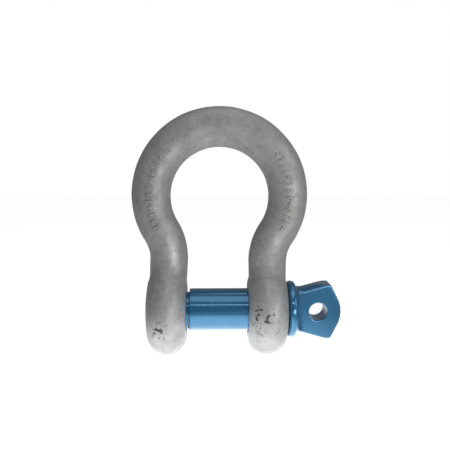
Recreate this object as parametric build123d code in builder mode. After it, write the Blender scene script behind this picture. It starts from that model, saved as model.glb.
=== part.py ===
"""Screw pin bow shackle, 22 mm bar, 6.5 tonne size, in millimetres.

A bow shackle is two forgings. One is a round bar bent into a bow, with an eye forged on each end. The other
is a screw pin that closes the mouth between the eyes. The pin passes through a plain hole in one eye and
screws into the other, until its collar meets the first eye.

Frame: the origin is on the pin's axis, midway between the eyes. +X runs along the pin to its head, +Z runs
from the pin to the crown of the bow, and the bow lies in the XZ plane.

The pin's collar is a ring of its own, held in a groove of the pin. It carries the travel of the screw, and
the pin turns in it.
"""

import os
from math import acos, cos, degrees, pi, radians, sin, sqrt, tan

from build123d import *

os.makedirs("parts", exist_ok=True)

# Sizes of the bow
pin_diameter = 25.4
jaw_width = 36.6  # between the eyes
inside_length = 84.5  # from the pin to the inside of the crown
bow_inside_width = 58.0
bar_diameter = 22.9
crown_thickness = 23.8  # the bar is a little thicker at the crown
leg_inside_width = 35.8  # between the straight legs, above the eyes
reverse_radius = 30.0  # centreline radius of the bend between leg and bow
bow_lean = 1.2  # degrees that the forging leans towards the plain eye

# Sizes of the eyes
eye_diameter = 54.2
eye_thickness = 23.2
eye_flat_diameter = 31.0  # the flat that the collar seats on
eye_root_height = 8.0  # where the neck of the leg starts, inside the eye
eye_root_margin = 0.6  # the neck stays this far inside the eye's surface there

# Sizes of the holes
plain_hole_clearance = 1.7  # on the diameter
hole_chamfer = 0.9
tapped_mouth_clearance = 0.9  # on the diameter, between the tapped hole's mouth and the shank

# Sizes of the thread
thread_pitch = 3.175
thread_major = 24.8
thread_depth = 1.75
thread_crest_width = 0.5
thread_flank_angle = 30.0
thread_radial_clearance = 0.3
thread_side_clearance = 0.12  # along the axis, on each flank
tap_run_out = 1.0  # how far the tap passes each face of the eye
thread_tip_stand_out = 0.6  # past the eye's outer face
thread_tip_diameter = 20.6  # at the small end of the tip's chamfer

# Sizes of the pin's shank
shank_end_gap = 1.7  # the plain shank stops this far before the tapped eye
shank_end_chamfer = 0.4
relief_groove_width = 0.7

# Sizes of the collar
seat_gap = 0.05
collar_diameter = 34.4
collar_length = 5.4
collar_rim_rounding = 2.4
collar_running_clearance = 0.05
lip_diameter = 29.2  # the pin's front lip, which keeps the collar on
lip_length = 1.2

# Sizes of the pin's head
neck_diameter = 27.9
flare_diameter = 30.6  # where the neck meets the collar's back
neck_length = 2.4  # from the flare to where the neck starts to widen
tab_thickness = 14.0
tab_width = 32.4
tab_root_width = 28.4
tab_widest_from_collar = 15.0
tab_straight_length = 5.6
tab_nose_width = 13.0
tab_nose_height = 1.2
tab_reach = 26.6  # from the collar's back to the tab's end
tab_blank_diameter = 34.9  # of the round stock that the flats are pressed on
tab_blank_from_collar = 17.5  # where that stock reaches its full diameter
tab_corner_radius = 1.6
tab_edge_radius = 0.4
flat_from_collar = 3.9  # where each flat starts, on the pin's axis
flat_arc_radius = 55.0  # of the flat's end by the neck
flat_cove_radius = 3.6
tab_tilt = 1.5  # how far the tight pin's tab is turned from the plane of the bow
eye_hole_diameter = 10.8
eye_hole_from_end = 13.5
eye_hole_rounding = 0.6

# Radii and half widths
pin_radius = pin_diameter / 2
bar_radius = bar_diameter / 2
crown_radius = crown_thickness / 2
eye_radius = eye_diameter / 2
eye_half = eye_thickness / 2
eye_flat_radius = eye_flat_diameter / 2
jaw_half = jaw_width / 2
major_radius = thread_major / 2
core_radius = major_radius - thread_depth
plain_hole_radius = pin_radius + plain_hole_clearance / 2
tapped_core_radius = core_radius + thread_radial_clearance
tapped_mouth_radius = pin_radius + tapped_mouth_clearance / 2
tapped_root_radius = major_radius + thread_radial_clearance
pilot_radius = core_radius  # of the hole that is tapped
tip_radius = thread_tip_diameter / 2
trim_radius = major_radius + 1.0  # of the tool that trims the thread's ends, clear of its crests
lip_radius = lip_diameter / 2
neck_radius = neck_diameter / 2
flare_end_radius = flare_diameter / 2
collar_radius = collar_diameter / 2
tab_half = tab_thickness / 2
blank_radius = tab_blank_diameter / 2

# Places along the pin
eye_middle = jaw_half + eye_half
eye_face = jaw_half + eye_thickness
shank_end = -jaw_half + shank_end_gap
thread_start = shank_end - relief_groove_width
thread_tip = -eye_face - thread_tip_stand_out
collar_front = eye_face + seat_gap
collar_back = collar_front + collar_length
lip_back = collar_front + lip_length
flare_start = collar_back + collar_running_clearance
neck_start = flare_start + flare_end_radius - neck_radius
tab_widest = collar_back + tab_widest_from_collar
tab_end = collar_back + tab_reach
tab_hole_x = tab_end - eye_hole_from_end
flat_arc_x = collar_back + flat_from_collar + flat_arc_radius
helix_start = shank_end + thread_pitch  # the helix runs past both ends, and is trimmed
helix_length = helix_start - thread_tip + thread_pitch
flank_points = 8

# The bow's centreline: a large arc over the crown, a reverse bend on each side, and straight legs
leg_x = leg_inside_width / 2 + bar_radius
bow_radius = bow_inside_width / 2 + bar_radius
bow_centre_z = pin_radius + inside_length + crown_radius - bow_radius
reverse_x = leg_x + reverse_radius
leg_top = bow_centre_z - sqrt((bow_radius + reverse_radius) ** 2 - reverse_x**2)
reverse_angle = degrees(acos(reverse_x / (bow_radius + reverse_radius)))

# The neck between leg and eye, seen from the side: an arc that is tangent to both
neck_blend = (bar_radius**2 + leg_top**2 - eye_radius**2) / (2 * (eye_radius - bar_radius))
neck_tangent_z = leg_top * eye_radius / (eye_radius + neck_blend)


def turned(radius, turn):
    """The point at a radius and a share of a full turn."""
    return (radius * cos(2 * pi * turn), radius * sin(2 * pi * turn))


def threaded_rod(inner, outer, side_clearance):
    """A right-hand threaded rod along -X from the start of the helix: its cross section, twisted along it."""
    slope = tan(radians(thread_flank_angle))
    crest_turn = (thread_crest_width / 2 + side_clearance + (major_radius - outer) * slope) / thread_pitch
    root_turn = crest_turn + (outer - inner) * slope / thread_pitch
    shares = [step / flank_points for step in range(flank_points + 1)]
    rising = [turned(inner + (outer - inner) * t, -root_turn + (root_turn - crest_turn) * t) for t in shares]
    falling = [turned(outer + (inner - outer) * t, crest_turn + (root_turn - crest_turn) * t) for t in shares]
    with BuildSketch(Plane.XY) as section:
        with BuildLine():
            Spline(*rising)
            ThreePointArc(rising[-1], turned(outer, 0), falling[0])
            Spline(*falling)
            ThreePointArc(falling[-1], turned(inner, 0.5), rising[0])
        make_face()
    twist = 360 * helix_length / thread_pitch
    face = section.sketch.faces()[0]
    rod = Solid.extrude_linear_with_rotation(face, (0, 0, 0), (0, 0, helix_length), twist)
    return Plane((helix_start, 0, 0), x_dir=(0, 0, 1), z_dir=(-1, 0, 0)) * rod


def neck_half_depth(height):
    """Half the neck's depth along Y at a height between the eye's tangent point and the leg's foot."""
    return bar_radius + neck_blend - sqrt(neck_blend**2 - (leg_top - height) ** 2)


# Neck of one leg: sections that widen from the bar's round to the eye's outline
neck_shares = (0.95, 0.75, 0.5, 0.25, 0.0)
neck_heights = [neck_tangent_z + share * (leg_top - neck_tangent_z) for share in neck_shares]
with BuildPart() as leg_neck:
    with BuildSketch(Plane.XY.offset(leg_top)):
        with Locations((leg_x, 0)):
            Circle(bar_radius)
    for height in neck_heights:
        drop = (leg_top - height) / (leg_top - eye_root_height)
        with BuildSketch(Plane.XY.offset(height)):
            with Locations((leg_x + (eye_middle - leg_x) * drop, 0)):
                Ellipse(bar_radius + (eye_half - eye_root_margin - bar_radius) * drop, neck_half_depth(height))
    for sink in (0.25, 0.5, 0.75, 1.0):
        height = neck_tangent_z + (eye_root_height - neck_tangent_z) * sink
        drop = (leg_top - height) / (leg_top - eye_root_height)
        with BuildSketch(Plane.XY.offset(height)):
            with Locations((leg_x + (eye_middle - leg_x) * drop, 0)):
                Ellipse(
                    bar_radius + (eye_half - eye_root_margin - bar_radius) * drop,
                    sqrt(eye_radius**2 - height**2) - eye_root_margin * sink,
                )
    loft()

# Eye: a flat seat on each side and an elliptical rim
with BuildPart() as eye:
    with BuildSketch(Plane.XZ):
        with BuildLine():
            Polyline((eye_face, eye_flat_radius), (eye_face, 0), (jaw_half, 0), (jaw_half, eye_flat_radius))
            rim_height = eye_radius - eye_flat_radius
            EllipticalCenterArc((eye_middle, eye_flat_radius), eye_half, rim_height, 0, arc_size=180)
        make_face()
    revolve(axis=Axis.X)

# The tool that taps the eye, larger than the pin's thread by the clearances
with BuildPart() as tap:
    add(threaded_rod(tapped_core_radius, tapped_root_radius, thread_side_clearance))
    with BuildSketch(Plane.XZ):
        with BuildLine():
            Polyline(
                (-jaw_half + tap_run_out, 0),
                (-jaw_half + tap_run_out, trim_radius),
                (-eye_face - tap_run_out, trim_radius),
                (-eye_face - tap_run_out, 0),
                close=True,
            )
        make_face()
    revolve(axis=Axis.X, mode=Mode.INTERSECT)

# The bent bar and the two necks: a round section carried along the centreline, thickest at the crown
with BuildPart() as bent_bar:
    with BuildLine(Plane.XZ) as centreline:
        CenterArc((-reverse_x, leg_top), reverse_radius, 0, reverse_angle)
        CenterArc((0, bow_centre_z), bow_radius, 180 + reverse_angle, -180 - 2 * reverse_angle)
        CenterArc((reverse_x, leg_top), reverse_radius, 180 - reverse_angle, reverse_angle)
    with BuildSketch(Plane((-leg_x, 0, leg_top), x_dir=(0, 1, 0), z_dir=(0, 0, 1))):
        Circle(bar_radius)
    with BuildSketch(Plane((0, 0, bow_centre_z + bow_radius), x_dir=(0, 1, 0), z_dir=(1, 0, 0))):
        Circle(crown_radius)
    with BuildSketch(Plane((leg_x, 0, leg_top), x_dir=(0, 1, 0), z_dir=(0, 0, -1))):
        Circle(bar_radius)
    sweep(path=centreline.wire(), multisection=True)
    add(leg_neck.part)
    mirror(leg_neck.part, about=Plane.YZ)

# Bow: the bent bar leans a little on its two eyes, which are square to the pin
with BuildPart() as bow:
    add(bent_bar.part, rotation=(0, bow_lean, 0))
    add(eye.part)
    mirror(eye.part, about=Plane.YZ)
    # the plain hole
    with BuildSketch(Plane.XZ):
        with BuildLine():
            Polyline(
                (jaw_half, 0),
                (jaw_half, plain_hole_radius + hole_chamfer),
                (jaw_half + hole_chamfer, plain_hole_radius),
                (eye_face - hole_chamfer, plain_hole_radius),
                (eye_face, plain_hole_radius + hole_chamfer),
                (eye_face, 0),
                close=True,
            )
        make_face()
    revolve(axis=Axis.X, mode=Mode.SUBTRACT)
    # the tapped hole: a countersink at each mouth, and the thread
    with BuildSketch(Plane.XZ):
        with BuildLine():
            Polyline(
                (-jaw_half, 0),
                (-jaw_half, tapped_mouth_radius),
                (-jaw_half - tapped_mouth_radius + pilot_radius, pilot_radius),
                (-eye_face + tapped_root_radius - pilot_radius, pilot_radius),
                (-eye_face, tapped_root_radius),
                (-eye_face, 0),
                close=True,
            )
        make_face()
    revolve(axis=Axis.X, mode=Mode.SUBTRACT)
    add(tap.part, mode=Mode.SUBTRACT)
bow.part.label = "bow"
export_step(bow.part, "parts/bow.step")

# Threaded end of the pin, trimmed to the thread's length and to its chamfered ends
with BuildPart() as threaded_end:
    add(threaded_rod(core_radius, major_radius, 0))
    with BuildSketch(Plane.XZ):
        with BuildLine():
            Polyline(
                (thread_tip, 0),
                (thread_tip, tip_radius),
                (thread_tip + trim_radius - tip_radius, trim_radius),
                (thread_start - trim_radius + core_radius, trim_radius),
                (thread_start, core_radius),
                (thread_start, 0),
                close=True,
            )
        make_face()
    revolve(axis=Axis.X, mode=Mode.INTERSECT)

# Head of the pin: round stock with an eye tab's outline and two flats pressed on it
with BuildPart() as head:
    with BuildSketch(Plane.XZ):
        with BuildLine():
            Polyline(
                (neck_start, 0),
                (neck_start, neck_radius),
                (neck_start + neck_length, neck_radius),
                (collar_back + tab_blank_from_collar, blank_radius),
                (tab_end, blank_radius),
                (tab_end, 0),
                close=True,
            )
        make_face()
    revolve(axis=Axis.X)
    with BuildSketch(Plane.XZ) as outline:
        with BuildLine():
            Polyline(
                (neck_start, -tab_root_width / 2),
                (tab_widest, -tab_width / 2),
                (tab_widest + tab_straight_length, -tab_width / 2),
                (tab_end - tab_nose_height, -tab_nose_width / 2),
            )
            ThreePointArc(
                (tab_end - tab_nose_height, -tab_nose_width / 2),
                (tab_end, 0),
                (tab_end - tab_nose_height, tab_nose_width / 2),
            )
            Polyline(
                (tab_end - tab_nose_height, tab_nose_width / 2),
                (tab_widest + tab_straight_length, tab_width / 2),
                (tab_widest, tab_width / 2),
                (neck_start, tab_root_width / 2),
                (neck_start, -tab_root_width / 2),
            )
        make_face()
        fillet(outline.vertices().group_by(Axis.X)[-2], tab_corner_radius)
    extrude(amount=blank_radius, both=True, mode=Mode.INTERSECT)
    # the two flats, each with a cove at the neck
    with BuildSketch(Plane.XY):
        with BuildLine():
            Polyline(
                (flat_arc_x - flat_arc_radius - flat_cove_radius, tab_half + flat_cove_radius),
                (flat_arc_x - flat_arc_radius - flat_cove_radius, blank_radius),
                (flat_arc_x, blank_radius),
                (flat_arc_x, tab_half),
                (flat_arc_x - flat_arc_radius, tab_half),
            )
            RadiusArc(
                (flat_arc_x - flat_arc_radius, tab_half),
                (flat_arc_x - flat_arc_radius - flat_cove_radius, tab_half + flat_cove_radius),
                flat_cove_radius,
            )
        make_face()
    flat_tool = revolve(axis=Axis((flat_arc_x, 0, 0), (0, 1, 0)), mode=Mode.PRIVATE)
    add(flat_tool, mode=Mode.SUBTRACT)
    mirror(flat_tool, about=Plane.XZ, mode=Mode.SUBTRACT)
    flat_edges = head.faces().filter_by(Axis.Y).edges()
    cove_edges = flat_edges.filter_by(
        lambda edge: edge.geom_type == GeomType.CIRCLE and abs(edge.radius - flat_arc_radius) < 0.01
    )
    fillet(flat_edges - cove_edges, tab_edge_radius)
    # the eye hole, with rounded mouths
    with BuildSketch(Plane.XZ):
        with Locations((tab_hole_x, 0)):
            Circle(eye_hole_diameter / 2)
    extrude(amount=blank_radius, both=True, mode=Mode.SUBTRACT)
    hole_mouths = head.faces().filter_by(Axis.Y).edges().filter_by(
        lambda edge: edge.geom_type == GeomType.CIRCLE and abs(edge.radius - eye_hole_diameter / 2) < 0.01
    )
    fillet(hole_mouths, eye_hole_rounding)


# Screw pin: the threaded end, the shank, the collar's groove, the neck and the tab in one forging
with BuildPart() as screw_pin:
    with BuildSketch(Plane.XZ):
        with BuildLine():
            Polyline(
                (thread_start, 0),
                (thread_start, core_radius),
                (shank_end, core_radius),
                (shank_end, pin_radius - shank_end_chamfer),
                (shank_end + shank_end_chamfer, pin_radius),
                (collar_front, pin_radius),
                (collar_front, lip_radius),
                (lip_back, lip_radius),
                (lip_back, neck_radius),
                (flare_start, neck_radius),
                (flare_start, flare_end_radius),
            )
            cove_depth = flare_end_radius - neck_radius
            RadiusArc((flare_start, flare_end_radius), (neck_start, neck_radius), cove_depth)
            Polyline((neck_start, neck_radius), (neck_start, 0), (thread_start, 0))
        make_face()
    revolve(axis=Axis.X)
    add(threaded_end.part)
    add(head.part, rotation=(tab_tilt, 0, 0))
screw_pin.part.label = "screw_pin"
export_step(screw_pin.part, "parts/screw_pin.step")

# Collar: a ring with a rounded rim, running in the pin's groove
with BuildPart() as pin_collar:
    with BuildSketch(Plane.XZ):
        with BuildLine():
            Polyline(
                (collar_front, lip_radius + collar_running_clearance),
                (collar_front, collar_radius),
                (collar_back, collar_radius),
                (collar_back, neck_radius + collar_running_clearance),
                (lip_back + collar_running_clearance, neck_radius + collar_running_clearance),
                (lip_back + collar_running_clearance, lip_radius + collar_running_clearance),
                close=True,
            )
        make_face()
    revolve(axis=Axis.X)
    rim_edges = pin_collar.edges().filter_by(GeomType.CIRCLE).group_by(SortBy.RADIUS)[-1]
    fillet(rim_edges, collar_rim_rounding)
pin_collar.part.label = "pin_collar"
export_step(pin_collar.part, "parts/pin_collar.step")
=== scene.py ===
# %% [markdown]
# A bow shackle is a link that can be opened. This one has two forgings: a bow bent from round bar, with an
# eye on each leg, and a screw pin that crosses the jaw and screws into one of the eyes. The bow is dipped in
# molten zinc, and the pin is painted blue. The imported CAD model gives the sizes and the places, and this
# script gives it the surface that the shackle has in use.

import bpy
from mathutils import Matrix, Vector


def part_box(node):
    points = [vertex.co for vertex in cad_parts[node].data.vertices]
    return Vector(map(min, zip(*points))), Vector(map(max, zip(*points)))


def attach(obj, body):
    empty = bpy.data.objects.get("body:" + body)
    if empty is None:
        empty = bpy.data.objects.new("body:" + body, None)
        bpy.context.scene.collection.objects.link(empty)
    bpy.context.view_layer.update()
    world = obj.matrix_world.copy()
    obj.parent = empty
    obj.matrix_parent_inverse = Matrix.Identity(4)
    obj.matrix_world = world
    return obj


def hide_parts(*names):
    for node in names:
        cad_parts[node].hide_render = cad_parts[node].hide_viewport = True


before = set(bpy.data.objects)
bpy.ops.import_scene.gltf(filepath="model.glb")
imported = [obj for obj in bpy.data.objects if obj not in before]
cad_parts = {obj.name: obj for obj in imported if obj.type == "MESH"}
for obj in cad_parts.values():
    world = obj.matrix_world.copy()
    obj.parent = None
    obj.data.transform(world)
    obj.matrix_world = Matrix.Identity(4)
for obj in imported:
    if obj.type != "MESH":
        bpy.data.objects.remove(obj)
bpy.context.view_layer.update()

# %% Modules and the unit of length
from math import acos, atan2, cos, degrees, exp, pi, radians, sin, sqrt, tan

import bmesh
import bpy
from mathutils import Matrix, Vector, noise

mm = 0.001  # Blender's unit here is the metre, and the sizes are easier to read in millimetres
scene = bpy.context.scene

# %% [markdown]
# The shackle's sizes. Places along the pin are measured from the middle of the jaw. They are read from the
# boxes of the CAD nodes where they can be, so that the pieces always meet, and the rest are the sizes that
# the forgings were drawn with.

# %% Sizes
bow_low, bow_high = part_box("bow")
ring_low, ring_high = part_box("pin_collar")
pin_low, pin_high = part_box("screw_pin")
jaw_half = 18.3 * mm
pin_radius = 12.7 * mm
bar_radius = 11.45 * mm
crown_radius = 11.9 * mm
collar_front = ring_low[0]
collar_back = ring_high[0]
collar_radius = ring_high[1]
running_gap = 0.05 * mm  # between pieces that turn on each other
eye_face = collar_front - running_gap
eye_radius = -bow_low[2]
eye_half = (eye_face - jaw_half) / 2
eye_middle = jaw_half + eye_half
seat_radius = 15.5 * mm
thread_pitch = 3.175 * mm
thread_radius = 12.4 * mm
core_radius = 10.65 * mm
thread_tip = pin_low[0]
tab_end = pin_high[0]
print("jaw", 2 * jaw_half / mm, "eye", round(2 * eye_radius / mm, 2))
print("pin from", round(thread_tip / mm, 2), "to", round(tab_end / mm, 2))

# %% [markdown]
# The camera comes first, because everything else is judged through it. Seen from close by, a small object
# has strong perspective, so the camera is near and the lens is not long.

# %% Camera
camera_data = bpy.data.cameras.new("camera")
camera = bpy.data.objects.new("camera", camera_data)
scene.collection.objects.link(camera)
scene.camera = camera
camera_data.sensor_width = 36
camera_data.lens = 40.92
camera_data.shift_x = 0.0044
camera_data.shift_y = 0.0154
camera_data.clip_start = 0.01
camera.location = (-0.84 * mm, -304.0 * mm, 78.2 * mm)
camera.rotation_euler = (radians(90 - 5.84), 0, radians(-0.82))
print("lens", camera_data.lens, "mm")

# %% [markdown]
# Every piece starts as points and faces that code works out. Doubled points are merged and the normals are
# worked out again before the mesh is used, so that each skin is closed and faces outwards.

# %% Helpers for meshes
def link(item):
    """Puts an object in the scene and gives it back."""
    scene.collection.objects.link(item)
    return item


def mesh_object(name, points, faces, smooth=True):
    """An object made from points in metres and faces that list their numbers, turned outwards."""
    mesh = bpy.data.meshes.new(name)
    mesh.from_pydata([tuple(point) for point in points], [], faces)
    work = bmesh.new()
    work.from_mesh(mesh)
    bmesh.ops.remove_doubles(work, verts=work.verts, dist=1e-8)
    bmesh.ops.recalc_face_normals(work, faces=work.faces)
    work.to_mesh(mesh)
    work.free()
    mesh.polygons.foreach_set("use_smooth", [smooth] * len(mesh.polygons))
    return link(bpy.data.objects.new(name, mesh))


print("helpers", link.__name__, mesh_object.__name__)

# %% [markdown]
# Metal and gloss paint show mostly what is around them. The floor glows like a lit card under the shackle
# and sends light up at its undersides, and the world round it is plain white. What is around is darker than
# what the lens sees, so the gloss keeps some dark to reflect: the Light Path node tells the two apart.

# %% Floor and surround
floor_size = 3.0
floor_sides = 48
floor_angles = [2 * pi * k / floor_sides for k in range(floor_sides)]
floor_points = [(floor_size * cos(a), floor_size * sin(a), -eye_radius) for a in floor_angles]
floor = mesh_object("floor", floor_points, [tuple(range(floor_sides))], smooth=False)
floor_finish = bpy.data.materials.new("pale_floor")
floor_finish.use_nodes = True
floor_shader = floor_finish.node_tree.nodes["Principled BSDF"]
floor_shader.inputs["Base Color"].default_value = (0.25, 0.25, 0.25, 1)
floor_shader.inputs["Roughness"].default_value = 0.9
floor_shader.inputs["Specular IOR Level"].default_value = 0.0
floor_shader.inputs["Emission Color"].default_value = (1, 1, 1, 1)
floor_nodes = floor_finish.node_tree.nodes
floor_place = floor_nodes.new("ShaderNodeTexCoord")
floor_reach = floor_nodes.new("ShaderNodeVectorMath")
floor_reach.operation = "LENGTH"
card_glow = floor_nodes.new("ShaderNodeMapRange")
card_glow.interpolation_type = "SMOOTHSTEP"
card_glow.inputs["From Min"].default_value = 40 * mm
card_glow.inputs["From Max"].default_value = 130 * mm
card_glow.inputs["To Min"].default_value = 1.9
card_glow.inputs["To Max"].default_value = 0.3
floor_path = floor_nodes.new("ShaderNodeLightPath")
seen_glow = floor_nodes.new("ShaderNodeMix")
seen_glow.inputs["B"].default_value = 0.93
for source, output, target, entry in (
    (floor_place, "Object", floor_reach, 0),
    (floor_reach, "Value", card_glow, "Value"),
    (floor_path, "Is Camera Ray", seen_glow, "Factor"),
    (card_glow, "Result", seen_glow, "A"),
    (seen_glow, "Result", floor_shader, "Emission Strength"),
):
    floor_finish.node_tree.links.new(source.outputs[output], target.inputs[entry])
floor.data.materials.append(floor_finish)
world = bpy.data.worlds.new("studio")
scene.world = world
world.use_nodes = True
surround = world.node_tree.nodes["Background"]
surround.inputs["Color"].default_value = (1, 1, 1, 1)
light_path = world.node_tree.nodes.new("ShaderNodeLightPath")
seen_or_not = world.node_tree.nodes.new("ShaderNodeMapRange")
seen_or_not.inputs["To Min"].default_value = 0.2
seen_or_not.inputs["To Max"].default_value = 1.0
world.node_tree.links.new(light_path.outputs["Is Camera Ray"], seen_or_not.inputs["Value"])
world.node_tree.links.new(seen_or_not.outputs["Result"], surround.inputs["Strength"])
scene.view_settings.view_transform = "Standard"
print("floor at", round(-eye_radius / mm, 2), "mm")

# %% [markdown]
# Wide soft panels shade the round bar, a low one lights the front of the crown, and a narrow strip draws a
# thin bright line along the pin.

# %% Lights
def panel(name, place, target, width, height, power, colour=(1, 1, 1)):
    """A soft rectangular light at a place, turned to face a target."""
    data = bpy.data.lights.new(name, "AREA")
    data.shape = "RECTANGLE"
    data.size = width
    data.size_y = height
    data.energy = power
    data.color = colour
    lamp = link(bpy.data.objects.new(name, data))
    lamp.location = place
    lamp.rotation_euler = (Vector(target) - Vector(place)).to_track_quat("-Z", "Y").to_euler()


for lamp in [item for item in scene.objects if item.type == "LIGHT"]:
    bpy.data.objects.remove(lamp)
middle = (0.0, 0.0, 0.045)
panel("overhead", (0.1, -0.1, 0.9), middle, 0.9, 0.7, 1.9)
panel("right_front", (0.75, -0.45, 0.45), middle, 0.5, 0.5, 1.1)
panel("crown", (0.2, -0.35, 0.02), (0.01, 0.0, 0.11), 0.25, 0.1, 0.4)
panel("strip", (0.0, -0.7, 0.53), middle, 0.9, 0.025, 0.5)

# %% [markdown]
# The bow starts as round bar that is heated, bent over a former and pressed into an eye at each end. Its
# centreline is five arcs that meet smoothly: the crown, a reverse bend on each side, and the two legs. A
# skin of rings is laid along it, each ring square to the line. The crown is a little thicker than the legs.

# %% The bent bar
inside_length = 84.5 * mm
leg_x = 17.9 * mm + bar_radius
bow_radius = 29.0 * mm + bar_radius
reverse_radius = 30.0 * mm
lean = radians(1.2)
bow_centre = pin_radius + inside_length + crown_radius - bow_radius
reverse_x = leg_x + reverse_radius
leg_top = bow_centre - sqrt((bow_radius + reverse_radius) ** 2 - reverse_x**2)
reverse_angle = acos(reverse_x / (bow_radius + reverse_radius))
reverse_steps = 16
crown_steps = 160
ring_points = 96


def bar_line():
    """Centre x, centre z and direction of each ring, from the foot of the left leg to the right one."""
    line = []
    for k in range(reverse_steps):
        a = reverse_angle * k / reverse_steps
        line.append((-reverse_x + reverse_radius * cos(a), leg_top + reverse_radius * sin(a), a + pi / 2))
    for k in range(crown_steps + 1):
        a = pi + reverse_angle - (pi + 2 * reverse_angle) * k / crown_steps
        line.append((bow_radius * cos(a), bow_centre + bow_radius * sin(a), a - pi / 2))
    for k in range(1, reverse_steps + 1):
        a = pi - reverse_angle + reverse_angle * k / reverse_steps
        line.append((reverse_x + reverse_radius * cos(a), leg_top + reverse_radius * sin(a), a + pi / 2))
    return line


def ring(x, z, direction, across, depth):
    """An oval ring square to a direction in the XZ plane, leant with the bow."""
    points = []
    for k in range(ring_points):
        a = 2 * pi * k / ring_points
        px = x + across * cos(a) * sin(direction)
        pz = z - across * cos(a) * cos(direction)
        points.append((px * cos(lean) + pz * sin(lean), depth * sin(a), pz * cos(lean) - px * sin(lean)))
    return points


line = bar_line()
bar_rings = []
for k, (x, z, direction) in enumerate(line):
    swell = sin(pi / 2 * (1 - abs(2 * k / (len(line) - 1) - 1))) ** 2
    radius = bar_radius + (crown_radius - bar_radius) * swell
    bar_rings.append(ring(x, z, direction, radius, radius))
print(len(bar_rings), "rings, crown top at", round((bow_centre + bow_radius + crown_radius) / mm, 2), "mm")

# %% [markdown]
# Below the leg the bar was pressed out into the eye. Its sides spread along an arc that is tangent to the
# bar and to the eye's outline, and then follow that outline down into the eye.

# %% The necks
root_height = 8.0 * mm
root_margin = 0.6 * mm
neck_steps = 24
neck_blend = (bar_radius**2 + leg_top**2 - eye_radius**2) / (2 * (eye_radius - bar_radius))
tangent_height = leg_top * eye_radius / (eye_radius + neck_blend)


def neck_rings(side):
    """Rings from just under the leg's foot down into the eye, on the left (-1) or the right (1)."""
    rings = []
    for k in range(1, neck_steps + 1):
        height = leg_top + (root_height - leg_top) * k / neck_steps
        drop = (leg_top - height) / (leg_top - root_height)
        across = bar_radius + (eye_half - root_margin - bar_radius) * drop
        if height > tangent_height:
            depth = bar_radius + neck_blend - sqrt(neck_blend**2 - (leg_top - height) ** 2)
        else:
            sink = (tangent_height - height) / (tangent_height - root_height)
            depth = sqrt(eye_radius**2 - height**2) - root_margin * sink
        x = side * (leg_x + (eye_middle - leg_x) * drop)
        rings.append(ring(x, height, -side * pi / 2, across, depth))
    return rings


def skin(name, rings):
    """A closed skin over rings that all have the same number of points."""
    count = len(rings[0])
    points = [point for one in rings for point in one]
    faces = []
    for row in range(len(rings) - 1):
        near, far = row * count, (row + 1) * count
        for k in range(count):
            after = (k + 1) % count
            faces.append((near + k, near + after, far + after, far + k))
    faces.append(tuple(range(count)))
    faces.append(tuple(range((len(rings) - 1) * count, len(rings) * count)))
    return mesh_object(name, points, faces)


bent_bar = skin("bent_bar", neck_rings(-1)[::-1] + bar_rings + neck_rings(1))
print("bent bar", len(bent_bar.data.polygons), "faces")

# %% [markdown]
# The eyes, the pin and the collar are round, so each is a profile turned about the pin's axis, as on a
# lathe. A point on the axis becomes one shared vertex, which leaves no pinched faces at the poles.

# %% The lathe
def lathe(name, profile, turns=128, axis="X", centre=0.0):
    """Turns a closed profile of (place along the axis, radius) pairs about X, or about a line along Y."""
    points = []
    rows = []
    for along, radius in profile:
        if radius < 1e-9:
            rows.append([len(points)] * turns)
            points.append((along, 0.0, 0.0))
            continue
        rows.append(list(range(len(points), len(points) + turns)))
        for k in range(turns):
            a = 2 * pi * k / turns
            points.append((along, radius * cos(a), radius * sin(a)))
    if axis == "Y":
        points = [(centre + z, along, y) for along, y, z in points]
    faces = []
    for first, second in zip(rows, rows[1:]):
        for k in range(turns):
            after = (k + 1) % turns
            corners = [first[k], first[after], second[after], second[k]]
            faces.append(tuple(dict.fromkeys(corners)))
    return mesh_object(name, points, [face for face in faces if len(face) > 2])


def arc_points(x, radius, across, high, start, end, count):
    """Points of an elliptical arc in a lathe profile, with angles in degrees from +X."""
    angles = [radians(start + (end - start) * k / count) for k in range(count + 1)]
    return [(x + across * cos(a), radius + high * sin(a)) for a in angles]


def eye(name, side):
    """An eye without its hole: a flat seat on each face and a full round rim."""
    rim = arc_points(side * eye_middle, seat_radius, eye_half, eye_radius - seat_radius, 0, 180, 40)
    right = side * eye_middle + eye_half
    left = side * eye_middle - eye_half
    return lathe(name, [(right, 0.0)] + rim + [(left, 0.0)], turns=192)


eyes = [eye("left_eye", -1), eye("right_eye", 1)]
print("eyes", [len(item.data.polygons) for item in eyes], "faces")

# %% [markdown]
# Bar and eyes are one forging. A voxel remesh runs them together into a single closed skin, and a few
# rounds of smoothing leave the soft creases of a die-forged part. A copy with its modifiers applied comes
# from new_from_object, which is how every piece here is finished.

# %% One forging
voxel = 0.64 * mm


def join(name, items):
    """Joins the meshes of several objects into one new object and removes them."""
    work = bmesh.new()
    for item in items:
        work.from_mesh(item.data)
        bpy.data.objects.remove(item)
    mesh = bpy.data.meshes.new(name)
    work.to_mesh(mesh)
    work.free()
    return link(bpy.data.objects.new(name, mesh))


def baked(item):
    """Applies an object's modifiers to its mesh."""
    bpy.context.view_layer.update()
    result = bpy.data.meshes.new_from_object(item.evaluated_get(bpy.context.evaluated_depsgraph_get()))
    item.modifiers.clear()
    item.data = result
    result.polygons.foreach_set("use_smooth", [True] * len(result.polygons))
    return item


def melted(item, size, rounds):
    """Remeshes an object's overlapping shells into one, and smooths it."""
    remesh = item.modifiers.new("remesh", "REMESH")
    remesh.mode = "VOXEL"
    remesh.voxel_size = size
    smooth = item.modifiers.new("smooth", "SMOOTH")
    smooth.factor = 0.5
    smooth.iterations = rounds
    return baked(item)


bow_forging = melted(join("bow_forging", [bent_bar] + eyes), voxel, 8)
print("forging", len(bow_forging.data.vertices), "vertices")

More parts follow.
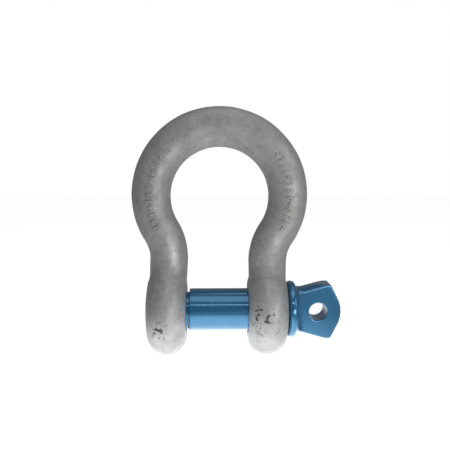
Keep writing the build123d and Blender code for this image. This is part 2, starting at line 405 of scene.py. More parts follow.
# %% [markdown]
# Forged and dipped steel is never quite smooth: it has broad hammered lumps, runs of zinc a few millimetres
# wide and a fine skin. Noise at three sizes moves each point inwards along its normal. It never moves one
# outwards, so the forging stays inside its drawn size.

# %% Hammered skin
def lumps(place):
    """How deep the skin sinks at a place."""
    broad = noise.noise(place / (15 * mm))
    runs = noise.noise(place / (4.5 * mm) + Vector((3, 1, 7)))
    fine = noise.noise(place / (1.7 * mm) + Vector((9, 4, 2)))
    return 0.16 * mm + 0.13 * mm * broad + 0.05 * mm * runs + 0.015 * mm * fine


places = [vertex.co.copy() for vertex in bow_forging.data.vertices]
outwards = [vertex.normal.copy() for vertex in bow_forging.data.vertices]
sunk = [place - out * max(lumps(place), 0.0) for place, out in zip(places, outwards)]
bow_forging.data.vertices.foreach_set("co", [value for place in sunk for value in place])
bow_forging.data.update()
print("skin sinks", round(lumps(Vector((0, 0, 0.12))) / mm, 3), "mm at the crown")

# %% [markdown]
# Two kinds of dirt have a place of their own: dark pits in a patch on the front of each eye, and brown
# residue round the raised marks. Each is stored per vertex as an attribute, and the finish breaks it up.

# %% Dirt that has a place
pitted = ((Vector((-33.0, -25.5, -6.0)) * mm, 5.0 * mm), (Vector((25.0, -25.5, 1.0)) * mm, 8.5 * mm))


def near_patch(place):
    """How strongly a place is pitted, from a little everywhere to 1 in the middle of a patch."""
    in_patches = sum(1.2 * exp(-(((place - centre).length / reach) ** 2)) for centre, reach in pitted)
    return min(0.12 + in_patches, 1.0)


def near_marks(place):
    """How much residue a place holds: most on the front of each limb, along the marks."""
    x = place.x * cos(lean) - place.z * sin(lean)
    z = place.z * cos(lean) + place.x * sin(lean) - bow_centre
    off_line = abs(sqrt(x**2 + z**2) - bow_radius) / (3.4 * mm)
    angle = degrees(atan2(z, abs(x)))
    if place.y > -8 * mm or not -30 < angle < 42 or off_line > 1:
        return 0.0
    return 1 - off_line**2


def store(item, name, measure):
    """Stores a number for each vertex of an object under a name."""
    values = [measure(vertex.co) for vertex in item.data.vertices]
    item.data.attributes.new(name, "FLOAT", "POINT").data.foreach_set("value", values)
    return round(max(values), 2)


print("most", store(bow_forging, "soil", near_patch), store(bow_forging, "residue", near_marks))

# %% [markdown]
# The holes are cut after the skin is roughened, because on the real bow they are drilled and tapped. The
# right eye has a plain hole with a chamfer at each mouth. The left one is bored to the thread's root, and
# the thread comes later as a ridge on the bore's wall.

# %% The two holes
plain_radius = 13.55 * mm
chamfer = 0.9 * mm
bore_radius = 12.7 * mm
bore_mouth = 13.15 * mm
past = 2 * mm
plain_tool = lathe("plain_tool", [
    (jaw_half - past, 0.0),
    (jaw_half - past, plain_radius + chamfer + past),
    (jaw_half + chamfer, plain_radius),
    (eye_face - chamfer, plain_radius),
    (eye_face + past, plain_radius + chamfer + past),
    (eye_face + past, 0.0),
], turns=192)
bore_tool = lathe("bore_tool", [
    (-jaw_half + past, 0.0),
    (-jaw_half + past, bore_mouth + past),
    (-jaw_half - bore_mouth + bore_radius, bore_radius),
    (-eye_face + 0.3 * mm, bore_radius),
    (-eye_face - past, bore_radius + 0.3 * mm + past),
    (-eye_face - past, 0.0),
], turns=192)


def carve(item, tool, kind="DIFFERENCE"):
    """Cuts a tool from an object, or keeps what they share, and removes the tool."""
    cut = item.modifiers.new("cut", "BOOLEAN")
    cut.operation = kind
    cut.object = tool
    cut.solver = "MANIFOLD"
    baked(item)
    bpy.data.objects.remove(tool)
    return item


carve(bow_forging, plain_tool)
carve(bow_forging, bore_tool)
bow_forging.data.set_sharp_from_angle(angle=radians(35))
print("bow", len(bow_forging.data.polygons), "faces")

# %% [markdown]
# A screw thread repeats the same ridge along a helix, which is a job for Geometry Nodes. A spiral with a
# constant radius is the path. Curve to Mesh carries a trapezoid along it, with the curve's normals kept
# level so that the ridge always points away from the axis. One tree makes both threads: the pin's ridge
# points outwards and the eye's points inwards.

# %% Thread tree
def socket(tree, name, kind, value):
    """Adds a named input to a tree and gives back its identifier."""
    made = tree.interface.new_socket(name=name, in_out="INPUT", socket_type=kind)
    if value is not None:
        made.default_value = value
    return made.identifier


def new_tree(name):
    """An empty Geometry Nodes tree that puts out a geometry."""
    tree = bpy.data.node_groups.new(name, "GeometryNodeTree")
    tree.is_modifier = True
    tree.interface.new_socket(name="Geometry", in_out="OUTPUT", socket_type="NodeSocketGeometry")
    return tree


thread_tree = new_tree("screw_thread")
thread_inputs = {
    "Turns": socket(thread_tree, "Turns", "NodeSocketFloat", 5.0),
    "Path Radius": socket(thread_tree, "Path Radius", "NodeSocketFloat", 0.01),
    "Length": socket(thread_tree, "Length", "NodeSocketFloat", 0.02),
    "Ridge Height": socket(thread_tree, "Ridge Height", "NodeSocketFloat", 0.002),
    "Root Width": socket(thread_tree, "Root Width", "NodeSocketFloat", 0.002),
    "Crest Width": socket(thread_tree, "Crest Width", "NodeSocketFloat", 0.001),
    "Points Out": socket(thread_tree, "Points Out", "NodeSocketFloat", 1.0),
    "Start": socket(thread_tree, "Start", "NodeSocketFloat", 0.0),
    "Finish": socket(thread_tree, "Finish", "NodeSocketMaterial", None),
}
nodes = thread_tree.nodes
group_in = nodes.new("NodeGroupInput")
group_out = nodes.new("NodeGroupOutput")
spiral = nodes.new("GeometryNodeCurveSpiral")
spiral.inputs["Resolution"].default_value = 64
spiral.inputs["Reverse"].default_value = True
level = nodes.new("GeometryNodeSetCurveNormal")
level.mode = "Z_UP"
ridge = nodes.new("GeometryNodeCurvePrimitiveQuadrilateral")
ridge.mode = "TRAPEZOID"
ridge.inputs["Offset"].default_value = 0.0
turn_ridge = nodes.new("GeometryNodeTransform")
quarter = nodes.new("ShaderNodeMath")
quarter.operation = "MULTIPLY"
quarter.inputs[1].default_value = pi / 2
ridge_turn = nodes.new("ShaderNodeCombineXYZ")
along = nodes.new("GeometryNodeSplineParameter")
sink = nodes.new("ShaderNodeFloatCurve")
sink_line = sink.mapping.curves[0].points
sink_line[0].location = (0.0, 1.0)
sink_line[1].location = (1.0, 1.0)
for share in (0.06, 0.94):
    sink_line.new(share, 0.0)
for point in sink_line:
    point.handle_type = "VECTOR"
sink.mapping.update()
deep = nodes.new("ShaderNodeMath")
deep.operation = "MULTIPLY"
signed = nodes.new("ShaderNodeMath")
signed.operation = "MULTIPLY"
place_now = nodes.new("GeometryNodeInputPosition")
flatten = nodes.new("ShaderNodeVectorMath")
flatten.operation = "MULTIPLY"
flatten.inputs[1].default_value = (-1, -1, 0)
inwards = nodes.new("ShaderNodeVectorMath")
inwards.operation = "NORMALIZE"
shift = nodes.new("ShaderNodeVectorMath")
shift.operation = "SCALE"
move_path = nodes.new("GeometryNodeSetPosition")
sweep = nodes.new("GeometryNodeCurveToMesh")
sweep.inputs["Fill Caps"].default_value = True
lay = nodes.new("GeometryNodeTransform")
lay.inputs["Rotation"].default_value = (0, pi / 2, 0)
start = nodes.new("ShaderNodeCombineXYZ")
realize = nodes.new("GeometryNodeRealizeInstances")
finish = nodes.new("GeometryNodeSetMaterial")
for source, name, target, slot_name in (
    (group_in, "Turns", spiral, "Rotations"),
    (group_in, "Path Radius", spiral, "Start Radius"),
    (group_in, "Path Radius", spiral, "End Radius"),
    (group_in, "Length", spiral, "Height"),
    (group_in, "Ridge Height", ridge, "Height"),
    (group_in, "Root Width", ridge, "Bottom Width"),
    (group_in, "Crest Width", ridge, "Top Width"),
    (group_in, "Points Out", quarter, 0),
    (quarter, 0, ridge_turn, "Z"),
    (ridge_turn, 0, turn_ridge, "Rotation"),
    (ridge, "Curve", turn_ridge, "Geometry"),
    (along, "Factor", sink, "Value"),
    (sink, "Value", deep, 0),
    (group_in, "Ridge Height", deep, 1),
    (deep, 0, signed, 0),
    (group_in, "Points Out", signed, 1),
    (place_now, 0, flatten, 0),
    (flatten, 0, inwards, 0),
    (inwards, 0, shift, 0),
    (signed, 0, shift, "Scale"),
    (spiral, "Curve", move_path, "Geometry"),
    (shift, 0, move_path, "Offset"),
    (move_path, "Geometry", level, "Curve"),
    (level, "Curve", sweep, "Curve"),
    (turn_ridge, "Geometry", sweep, "Profile Curve"),
    (group_in, "Start", start, "X"),
    (start, 0, lay, "Translation"),
    (sweep, "Mesh", lay, "Geometry"),
    (lay, "Geometry", realize, "Geometry"),
    (realize, "Geometry", finish, "Geometry"),
    (group_in, "Finish", finish, "Material"),
    (finish, "Geometry", group_out, "Geometry"),
):
    thread_tree.links.new(source.outputs[name], target.inputs[slot_name])
print("thread tree", len(nodes), "nodes")


# %% [markdown]
# A shader effect that several finishes share is a node group. This one is the fine dust and spatter on
# anything that has been handled: noise cut off at a level, so that it comes in flecks. It puts out a mask
# and a height, and each finish decides what to do with them.

# %% Shared flecks
def shader_group(name, numbers, outputs):
    """An empty shader group with numbers for inputs, and with its input and output nodes."""
    group = bpy.data.node_groups.new(name, "ShaderNodeTree")
    for label, value in numbers.items():
        made = group.interface.new_socket(name=label, in_out="INPUT", socket_type="NodeSocketFloat")
        made.default_value = value
    for label in outputs:
        group.interface.new_socket(name=label, in_out="OUTPUT", socket_type="NodeSocketFloat")
    return group, group.nodes.new("NodeGroupInput"), group.nodes.new("NodeGroupOutput")


def wire(tree, *links):
    """Links sockets in a tree, each given as (node, output, node, input)."""
    for source, output, target, entry in links:
        tree.links.new(source.outputs[output], target.inputs[entry])


fleck_numbers = {"Scale": 900.0, "Level": 0.62, "Softness": 0.05}
flecks, flecks_in, flecks_out = shader_group("flecks", fleck_numbers, ("Mask", "Height"))
flecks_place = flecks.nodes.new("ShaderNodeTexCoord")
flecks_noise = flecks.nodes.new("ShaderNodeTexNoise")
flecks_noise.inputs["Detail"].default_value = 5.0
flecks_noise.inputs["Roughness"].default_value = 0.6
flecks_top = flecks.nodes.new("ShaderNodeMath")
flecks_cut = flecks.nodes.new("ShaderNodeMapRange")
flecks_cut.interpolation_type = "SMOOTHSTEP"
wire(
    flecks,
    (flecks_place, "Object", flecks_noise, "Vector"),
    (flecks_in, "Scale", flecks_noise, "Scale"),
    (flecks_in, "Level", flecks_top, 0),
    (flecks_in, "Softness", flecks_top, 1),
    (flecks_noise, "Fac", flecks_cut, "Value"),
    (flecks_in, "Level", flecks_cut, "From Min"),
    (flecks_top, 0, flecks_cut, "From Max"),
    (flecks_cut, "Result", flecks_out, "Mask"),
    (flecks_noise, "Fac", flecks_out, "Height"),
)


def placed(material, group, **numbers):
    """Places a shader group in a material with its own numbers."""
    node = material.node_tree.nodes.new("ShaderNodeGroup")
    node.node_tree = group
    for label, value in numbers.items():
        node.inputs[label].default_value = value
    return node


def new_finish(name, **constants):
    """A material with its Principled shader, whose constant values are set on the shader's own sockets."""
    material = bpy.data.materials.new(name)
    material.use_nodes = True
    shader = material.node_tree.nodes["Principled BSDF"]
    for label, value in constants.items():
        shader.inputs[label.replace("_", " ")].default_value = value
    return material, shader


def blend(tree, low, high):
    """A colour mix node between two colours, driven by its Factor."""
    node = tree.nodes.new("ShaderNodeMix")
    node.data_type = "RGBA"
    node.inputs[6].default_value = (*low, 1)
    node.inputs[7].default_value = (*high, 1)
    return node


print("group", flecks.name, len(flecks.nodes), "nodes")

# %% [markdown]
# Hot-dip zinc weathers to a matte light grey. It is cloudy at the size of a fingertip, spangled at the size
# of a grain of rice, and pitted in a few places on the eyes. The zinc is a real metal under a dull oxide, so
# the shader is partly metallic and fairly rough, and both change with the clouds.

# %% Zinc finish
zinc, zinc_shader = new_finish("zinc_finish", Specular_IOR_Level=0.45)
tree = zinc.node_tree
here = tree.nodes.new("ShaderNodeTexCoord")
clouds = tree.nodes.new("ShaderNodeTexNoise")
clouds.inputs["Scale"].default_value = 75.0
clouds.inputs["Detail"].default_value = 6.0
clouds.inputs["Roughness"].default_value = 0.62
spangle = tree.nodes.new("ShaderNodeTexVoronoi")
spangle.inputs["Scale"].default_value = 330.0
grain = tree.nodes.new("ShaderNodeTexNoise")
grain.inputs["Scale"].default_value = 520.0
grain.inputs["Detail"].default_value = 7.0
grain.inputs["Roughness"].default_value = 0.7
cloud_share = tree.nodes.new("ShaderNodeMapRange")
cloud_share.inputs["From Min"].default_value = 0.3
cloud_share.inputs["From Max"].default_value = 0.7
base_mix = blend(tree, (0.30, 0.301, 0.298), (0.45, 0.452, 0.452))
grey_of = tree.nodes.new("ShaderNodeRGBToBW")
spangle_share = tree.nodes.new("ShaderNodeMapRange")
spangle_share.inputs["To Min"].default_value = 0.0
spangle_share.inputs["To Max"].default_value = 0.32
spangle_mix = blend(tree, (0, 0, 0), (0.50, 0.503, 0.505))
grain_share = tree.nodes.new("ShaderNodeMapRange")
grain_share.inputs["From Min"].default_value = 0.52
grain_share.inputs["From Max"].default_value = 0.75
grain_share.inputs["To Max"].default_value = 0.55
grain_mix = blend(tree, (0, 0, 0), (0.19, 0.188, 0.182))
pits = placed(zinc, flecks, Scale=280.0, Level=0.555, Softness=0.03)
soiled = tree.nodes.new("ShaderNodeAttribute")
soiled.attribute_name = "soil"
rusty = tree.nodes.new("ShaderNodeAttribute")
rusty.attribute_name = "residue"
rust_flecks = placed(zinc, flecks, Scale=1100.0, Level=0.46, Softness=0.25)
rust_share = tree.nodes.new("ShaderNodeMath")
rust_share.operation = "MULTIPLY"
rust_mix = blend(tree, (0, 0, 0), (0.2, 0.175, 0.15))
pit_share = tree.nodes.new("ShaderNodeMath")
pit_share.operation = "MULTIPLY"
pit_mix = blend(tree, (0, 0, 0), (0.075, 0.07, 0.065))
rough = tree.nodes.new("ShaderNodeMapRange")
rough.inputs["From Min"].default_value = 0.3
rough.inputs["From Max"].default_value = 0.7
rough.inputs["To Min"].default_value = 0.58
rough.inputs["To Max"].default_value = 0.42
shine = tree.nodes.new("ShaderNodeMapRange")
shine.inputs["From Min"].default_value = 0.3
shine.inputs["From Max"].default_value = 0.7
shine.inputs["To Min"].default_value = 0.35
shine.inputs["To Max"].default_value = 0.6
skin_bump = tree.nodes.new("ShaderNodeBump")
skin_bump.inputs["Strength"].default_value = 0.55
skin_bump.inputs["Distance"].default_value = 0.12 * mm
pit_bump = tree.nodes.new("ShaderNodeBump")
pit_bump.invert = True
pit_bump.inputs["Strength"].default_value = 0.8
pit_bump.inputs["Distance"].default_value = 0.25 * mm
wire(
    tree,
    (here, "Object", clouds, "Vector"),
    (here, "Object", spangle, "Vector"),
    (here, "Object", grain, "Vector"),
    (clouds, "Fac", cloud_share, "Value"),
    (cloud_share, "Result", base_mix, 0),
    (spangle, "Color", grey_of, "Color"),
    (grey_of, "Val", spangle_share, "Value"),
    (spangle_share, "Result", spangle_mix, 0),
    (base_mix, 2, spangle_mix, 6),
    (grain, "Fac", grain_share, "Value"),
    (grain_share, "Result", grain_mix, 0),
    (spangle_mix, 2, grain_mix, 6),
    (pits, "Mask", pit_share, 0),
    (soiled, "Fac", pit_share, 1),
    (pit_share, 0, pit_mix, 0),
    (rust_flecks, "Mask", rust_share, 0),
    (rusty, "Fac", rust_share, 1),
    (rust_share, 0, rust_mix, 0),
    (grain_mix, 2, rust_mix, 6),
    (rust_mix, 2, pit_mix, 6),
    (pit_mix, 2, zinc_shader, "Base Color"),
    (clouds, "Fac", rough, "Value"),
    (rough, "Result", zinc_shader, "Roughness"),
    (clouds, "Fac", shine, "Value"),
    (shine, "Result", zinc_shader, "Metallic"),
    (grain, "Fac", skin_bump, "Height"),
    (skin_bump, "Normal", pit_bump, "Normal"),
    (pit_share, 0, pit_bump, "Height"),
    (pit_bump, "Normal", zinc_shader, "Normal"),
)
print("zinc", len(tree.nodes), "nodes")

# %% [markdown]
# The pin is blue lacquer over bright steel. The lacquer tints what the metal under it reflects, which a
# partly metallic base with a clear coat does well. It has a faint orange peel, flecks of dust, long fine
# scratches round the shank from the links that have turned on it, and paler edges where it has worn thin.

# %% Blue lacquer
paint, paint_shader = new_finish(
    "blue_lacquer", Metallic=0.6, Coat_Weight=1.0, Coat_Roughness=0.05, Specular_IOR_Level=0.5
)
tree = paint.node_tree
here = tree.nodes.new("ShaderNodeTexCoord")
patches = tree.nodes.new("ShaderNodeTexNoise")
patches.inputs["Scale"].default_value = 110.0
patches.inputs["Detail"].default_value = 4.0
patch_mix = blend(tree, (0.012, 0.135, 0.28), (0.02, 0.185, 0.37))
stretch = tree.nodes.new("ShaderNodeMapping")
stretch.inputs["Scale"].default_value = (1.0, 0.05, 0.05)
scratches = tree.nodes.new("ShaderNodeTexNoise")
scratches.inputs["Scale"].default_value = 1500.0
scratches.inputs["Detail"].default_value = 3.0
scratch_cut = tree.nodes.new("ShaderNodeMapRange")
scratch_cut.inputs["From Min"].default_value = 0.62
scratch_cut.inputs["From Max"].default_value = 0.7
scratch_cut.inputs["To Max"].default_value = 0.22
scratch_mix = blend(tree, (0, 0, 0), (0.16, 0.40, 0.58))
dust = placed(paint, flecks, Scale=1300.0, Level=0.66, Softness=0.04)
dust_part = tree.nodes.new("ShaderNodeMath")
dust_part.operation = "MULTIPLY"
dust_part.inputs[1].default_value = 0.35
dust_mix = blend(tree, (0, 0, 0), (0.30, 0.42, 0.52))
worn = tree.nodes.new("ShaderNodeAttribute")
worn.attribute_name = "wear"
worn_part = tree.nodes.new("ShaderNodeMath")
worn_part.operation = "MULTIPLY"
worn_mix = blend(tree, (0, 0, 0), (0.14, 0.36, 0.58))
rough = tree.nodes.new("ShaderNodeMapRange")
rough.inputs["To Min"].default_value = 0.2
rough.inputs["To Max"].default_value = 0.5
peel = tree.nodes.new("ShaderNodeTexNoise")
peel.inputs["Scale"].default_value = 480.0
peel.inputs["Detail"].default_value = 2.0
peel_bump = tree.nodes.new("ShaderNodeBump")
peel_bump.inputs["Strength"].default_value = 0.35
peel_bump.inputs["Distance"].default_value = 0.04 * mm
wire(
    tree,
    (here, "Object", patches, "Vector"),
    (here, "Object", stretch, "Vector"),
    (stretch, "Vector", scratches, "Vector"),
    (here, "Object", peel, "Vector"),
    (patches, "Fac", patch_mix, 0),
    (scratches, "Fac", scratch_cut, "Value"),
    (scratch_cut, "Result", scratch_mix, 0),
    (patch_mix, 2, scratch_mix, 6),
    (dust, "Mask", dust_part, 0),
    (dust_part, 0, dust_mix, 0),
    (scratch_mix, 2, dust_mix, 6),
    (worn, "Fac", worn_part, 0),
    (patches, "Fac", worn_part, 1),
    (worn_part, 0, worn_mix, 0),
    (dust_mix, 2, worn_mix, 6),
    (worn_mix, 2, paint_shader, "Base Color"),
    (scratch_cut, "Result", rough, "Value"),
    (rough, "Result", paint_shader, "Roughness"),
    (peel, "Fac", peel_bump, "Height"),
    (peel_bump, "Normal", paint_shader, "Normal"),
)
print("lacquer", len(tree.nodes), "nodes")

# %% [markdown]
# Each thread is a bare object with the tree on it as a modifier. The inputs are set by their identifiers,
# the result is baked to a plain mesh, and the modifier goes. The eye's ridge starts half a pitch along from
# the pin's, so each sits in the other's groove.

# %% The two threads
def run_tree(name, group, identifiers, **values):
    """Makes a piece from a Geometry Nodes tree with its named inputs set."""
    item = link(bpy.data.objects.new(name, bpy.data.meshes.new(name)))
    work = item.modifiers.new("nodes", "NODES")
    work.node_group = group
    for label, value in values.items():
        work[identifiers[label.replace("_", " ")]] = value
    return baked(item)


def closed(item):
    """Merges an object's doubled points and turns its faces outwards."""
    work = bmesh.new()
    work.from_mesh(item.data)
    bmesh.ops.remove_doubles(work, verts=work.verts, dist=1e-7)
    bmesh.ops.recalc_face_normals(work, faces=work.faces)
    work.to_mesh(item.data)
    work.free()
    return item


ridge_slope = tan(radians(30))
bedded = 0.3 * mm
pin_ridge = thread_radius - core_radius + bedded
pin_crest = 0.5 * mm
pin_start = thread_tip + 1.45 * mm
pin_turns = 7.25
pin_thread = closed(run_tree(
    "pin_thread", thread_tree, thread_inputs, Turns=pin_turns, Length=pin_turns * thread_pitch,
    Path_Radius=thread_radius - pin_ridge / 2, Ridge_Height=pin_ridge, Crest_Width=pin_crest,
    Root_Width=pin_crest + 2 * pin_ridge * ridge_slope, Points_Out=1.0, Start=pin_start, Finish=paint,
))
eye_crest_radius = 10.95 * mm
eye_ridge = bore_radius - eye_crest_radius + bedded
eye_crest = 0.76 * mm
eye_turns = 6.0
eye_thread = closed(run_tree(
    "eye_thread", thread_tree, thread_inputs, Turns=eye_turns, Length=eye_turns * thread_pitch,
    Path_Radius=eye_crest_radius + eye_ridge / 2, Ridge_Height=eye_ridge, Crest_Width=eye_crest,
    Root_Width=eye_crest + 2 * eye_ridge * ridge_slope, Points_Out=-1.0,
    Start=pin_start + thread_pitch / 2, Finish=zinc,
))
for item in (pin_thread, eye_thread):
    item.data.set_sharp_from_angle(angle=radians(25))
    radii = [sqrt(vertex.co.y**2 + vertex.co.z**2) / mm for vertex in item.data.vertices]
    print(item.name, len(item.data.polygons), "faces")
    print("radius", round(min(radii), 2), "to", round(max(radii), 2))

# %% [markdown]
# The die leaves raised marks on the front of each limb. Here they are plain strokes and dots with no
# meaning. Another tree makes them: points along an arc of the centreline, with a stroke or a dot placed on
# each. Every fourth is a dot.

# %% Marks tree
marks_tree = new_tree("raised_marks")
marks_inputs = {
    "Arc Radius": socket(marks_tree, "Arc Radius", "NodeSocketFloat", 0.04),
    "Start Angle": socket(marks_tree, "Start Angle", "NodeSocketFloat", 0.0),
    "Sweep Angle": socket(marks_tree, "Sweep Angle", "NodeSocketFloat", 1.0),
    "Count": socket(marks_tree, "Count", "NodeSocketInt", 10),
    "Stroke": socket(marks_tree, "Stroke", "NodeSocketVector", (0.002, 0.0005, 0.0005)),
    "Dot": socket(marks_tree, "Dot", "NodeSocketVector", (0.001, 0.0005, 0.001)),
    "Place": socket(marks_tree, "Place", "NodeSocketVector", (0.0, 0.0, 0.0)),
    "Finish": socket(marks_tree, "Finish", "NodeSocketMaterial", None),
}
nodes = marks_tree.nodes
group_in = nodes.new("NodeGroupInput")
group_out = nodes.new("NodeGroupOutput")
arc = nodes.new("GeometryNodeCurveArc")
arc.inputs["Resolution"].default_value = 64
spots = nodes.new("GeometryNodeCurveToPoints")
spots.mode = "COUNT"
blob = nodes.new("GeometryNodeMeshUVSphere")
blob.inputs["Segments"].default_value = 14
blob.inputs["Rings"].default_value = 8
blob.inputs["Radius"].default_value = 1.0
number = nodes.new("GeometryNodeInputIndex")
every = nodes.new("ShaderNodeMath")
every.operation = "MODULO"
every.inputs[1].default_value = 4.0
is_dot = nodes.new("FunctionNodeCompare")
is_dot.operation = "LESS_THAN"
is_dot.inputs[1].default_value = 0.5
choose = nodes.new("GeometryNodeSwitch")
choose.input_type = "VECTOR"
lay_marks = nodes.new("GeometryNodeInstanceOnPoints")
stand = nodes.new("GeometryNodeTransform")
stand.inputs["Rotation"].default_value = (pi / 2, 0, 0)
realize = nodes.new("GeometryNodeRealizeInstances")
finish = nodes.new("GeometryNodeSetMaterial")
wire(
    marks_tree,
    (group_in, "Arc Radius", arc, "Radius"),
    (group_in, "Start Angle", arc, "Start Angle"),
    (group_in, "Sweep Angle", arc, "Sweep Angle"),
    (arc, "Curve", spots, "Curve"),
    (group_in, "Count", spots, "Count"),
    (spots, "Points", lay_marks, "Points"),
    (spots, "Rotation", lay_marks, "Rotation"),
    (blob, "Mesh", lay_marks, "Instance"),
    (number, 0, every, 0),
    (every, 0, is_dot, 0),
    (is_dot, 0, choose, "Switch"),
    (group_in, "Stroke", choose, "False"),
    (group_in, "Dot", choose, "True"),
    (choose, 0, lay_marks, "Scale"),
    (lay_marks, "Instances", stand, "Geometry"),
    (group_in, "Place", stand, "Translation"),
    (stand, "Geometry", realize, "Geometry"),
    (realize, "Geometry", finish, "Geometry"),
    (group_in, "Finish", finish, "Material"),
    (finish, "Geometry", group_out, "Geometry"),
)


def marks(name, from_degrees, to_degrees, count):
    """A row of raised marks on the bow's front, between two angles about the bow's centre."""
    front = -(bar_radius - 0.15 * mm)
    item = run_tree(
        name, marks_tree, marks_inputs, Arc_Radius=bow_radius, Start_Angle=radians(from_degrees),
        Sweep_Angle=radians(to_degrees - from_degrees), Count=count, Stroke=(2.7 * mm, 0.8 * mm, 0.62 * mm),
        Dot=(1.1 * mm, 0.8 * mm, 1.1 * mm), Place=(0.0, front, bow_centre), Finish=zinc,
    )
    item.data.transform(Matrix.Rotation(lean, 4, "Y"))
    return closed(item)


left_marks = marks("left_marks", 147, 207, 12)
right_marks = marks("right_marks", -26, 38, 13)
for item in (left_marks, right_marks):
    store(item, "residue", near_marks)
print("marks", len(left_marks.data.polygons), len(right_marks.data.polygons), "faces")

# %% [markdown]
# The pin's shank is turned: the end face, the thread's core, a relief groove, the plain bearing length and
# the lip that the collar runs against. Small chamfers keep every corner from looking razor sharp.

# %% Pin shank
shank_end = -16.6 * mm
lip_radius = 14.6 * mm
groove_radius = 13.95 * mm
groove_front = 42.75 * mm
inside_collar = 44.5 * mm
pin_shank = lathe("pin_shank", [
    (thread_tip, 0.0),
    (thread_tip, 9.6 * mm),
    (thread_tip + 0.25 * mm, 10.1 * mm),
    (thread_tip + 0.8 * mm, core_radius),
    (shank_end - 0.25 * mm, core_radius),
    (shank_end, core_radius + 0.25 * mm),
    (shank_end, pin_radius - 0.5 * mm),
    (shank_end + 0.15 * mm, pin_radius - 0.2 * mm),
    (shank_end + 0.5 * mm, pin_radius),
    (collar_front, pin_radius),
    (collar_front, lip_radius - 0.2 * mm),
    (collar_front + 0.2 * mm, lip_radius),
    (groove_front, lip_radius),
    (groove_front, groove_radius),
    (inside_collar, groove_radius),
    (inside_collar, 0.0),
], turns=192)
pin_shank.data.set_sharp_from_angle(angle=radians(25))
pin_shank.data.materials.append(paint)
print("shank", len(pin_shank.data.polygons), "faces")

# %% [markdown]
# The head was round stock that a die pressed into a flat tab with an eye. It is made the same way: a turned
# blank is kept only where it is inside the tab's outline, two large discs cut the flats with a cove at the
# neck, and a drill makes the eye. A fine remesh and smoothing round all the edges like thick paint does.

# %% Pin head
tab_half = 7.0 * mm
blank_radius = 17.45 * mm
flare_radius = 15.3 * mm
flare_x = collar_back + running_gap
neck_x = flare_x + flare_radius - groove_radius
tab_tilt = radians(1.5)
hole_x = tab_end - 13.5 * mm
hole_radius = 5.4 * mm
far = 25 * mm
head_voxel = 0.3 * mm
blank = lathe("blank", [
    (43.5 * mm, 0.0),
    (43.5 * mm, groove_radius - 0.1 * mm),
    (flare_x, groove_radius - 0.1 * mm),
] + arc_points(neck_x, flare_radius, neck_x - flare_x, neck_x - flare_x, 180, 270, 10) + [
    (neck_x + 2.4 * mm, groove_radius),
    (collar_back + 17.5 * mm, blank_radius),
    (tab_end, blank_radius),
    (tab_end, 0.0),
], turns=192)
corner = (collar_back + 20.6 * mm, 16.2 * mm)
nose = (tab_end - 1.2 * mm, 6.5 * mm)
half_outline = [
    (43 * mm, far),
    (neck_x, far),
    (neck_x, 14.2 * mm),
    (collar_back + 15 * mm, corner[1]),
    corner,
    nose,
    (tab_end - 0.3 * mm, 3.3 * mm),
]
outline = half_outline + [(tab_end, 0.0)] + [(x, -z) for x, z in reversed(half_outline)]
count = len(outline)
outline_block = mesh_object(
    "outline_block",
    [(x, y, z) for y in (-far, far) for x, z in outline],
    [tuple(range(count)), tuple(range(count, 2 * count))]
    + [(k, (k + 1) % count, count + (k + 1) % count, count + k) for k in range(count)],
)
carve(blank, outline_block, "INTERSECT")
arc_radius = 55 * mm
cove_radius = 3.6 * mm
for side in (-1, 1):
    cove = [
        (side * (tab_half + cove_radius * (1 - cos(a))), arc_radius + cove_radius * sin(a))
        for a in [radians(90 * k / 12) for k in range(13)]
    ]
    profile = [(side * tab_half, 0.0)] + cove + [(side * far, cove[-1][1]), (side * far, 0.0)]
    disc = lathe("disc", profile, turns=720, axis="Y", centre=collar_back + 3.9 * mm + arc_radius)
    carve(blank, disc)
drill_profile = [(-far, 0.0), (-far, hole_radius), (far, hole_radius), (far, 0.0)]
drill = lathe("drill", drill_profile, turns=96, axis="Y", centre=hole_x)
carve(blank, drill)
blank.data.transform(Matrix.Rotation(tab_tilt, 4, "X"))
blank.name = "pin_head"
pin_head = melted(blank, head_voxel, 10)
print("head", len(pin_head.data.polygons), "faces")

# %% [markdown]
# Paint wears first where an edge sticks out. How far each point stands above its neighbours measures that,
# and it is kept as an attribute that the lacquer reads.

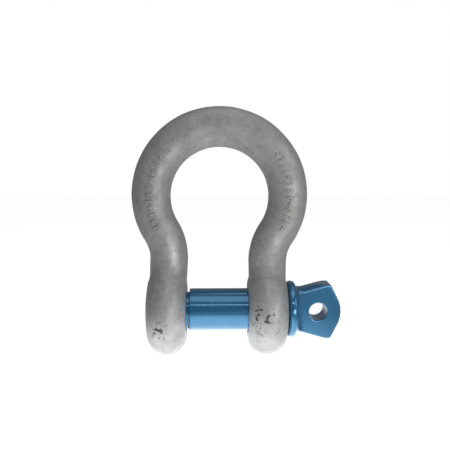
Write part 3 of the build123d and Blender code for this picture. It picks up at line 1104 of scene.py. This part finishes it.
# %% Worn edges
def mark_wear(item, step):
    """Stores how sharply each vertex of an evenly meshed piece stands out, from 0 to 1."""
    mesh = item.data
    total = [0.0] * len(mesh.vertices)
    near = [0] * len(mesh.vertices)
    places = [vertex.co.copy() for vertex in mesh.vertices]
    outwards = [vertex.normal.copy() for vertex in mesh.vertices]
    for edge in mesh.edges:
        a, b = edge.vertices
        gap = places[b] - places[a]
        total[a] += gap.dot(outwards[a])
        total[b] -= gap.dot(outwards[b])
        near[a] += 1
        near[b] += 1
    wear = [min(max((-t / max(n, 1) / step - 0.05) / 0.12, 0.0), 1.0) for t, n in zip(total, near)]
    mesh.attributes.new("wear", "FLOAT", "POINT").data.foreach_set("value", wear)
    return sum(value > 0.5 for value in wear)


print("worn points", mark_wear(pin_head, head_voxel))
pin_head.data.materials.clear()
pin_head.data.materials.append(paint)

# %% [markdown]
# The collar is a forged ring with a fully rounded rim. Its bore is stepped, so that it runs round the pin's
# lip in front and in the groove behind.

# %% Collar
rim = 2.4 * mm
bore_step = groove_front + running_gap
front_bore = lip_radius + running_gap
back_bore = groove_radius + running_gap
ring_profile = [(collar_front, front_bore)]
ring_profile += arc_points(collar_front + rim, collar_radius - rim, rim, rim, 180, 90, 16)
ring_profile += arc_points(collar_back - rim, collar_radius - rim, rim, rim, 90, 0, 16)
ring_profile += [
    (collar_back, back_bore),
    (bore_step, back_bore),
    (bore_step, front_bore),
    (collar_front, front_bore),
]
collar_ring = lathe("collar_ring", ring_profile, turns=192)
collar_ring.data.set_sharp_from_angle(angle=radians(30))
collar_ring.data.materials.append(paint)
print("collar", len(collar_ring.data.polygons), "faces")

# %% [markdown]
# Last, each piece is told which body it moves with, and the bow is given the zinc finish. The three main
# pieces stand in for the CAD solids, which stay in the model, hidden, for collision.

# %% Bodies and finishes
bow_forging.data.materials.clear()
bow_forging.data.materials.append(zinc)
for item in (bow_forging, left_marks, right_marks, eye_thread):
    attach(item, "shackle_bow")
for item in (pin_shank, pin_thread, pin_head):
    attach(item, "pin")
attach(collar_ring, "collar")
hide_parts("bow")
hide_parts("screw_pin")
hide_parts("pin_collar")
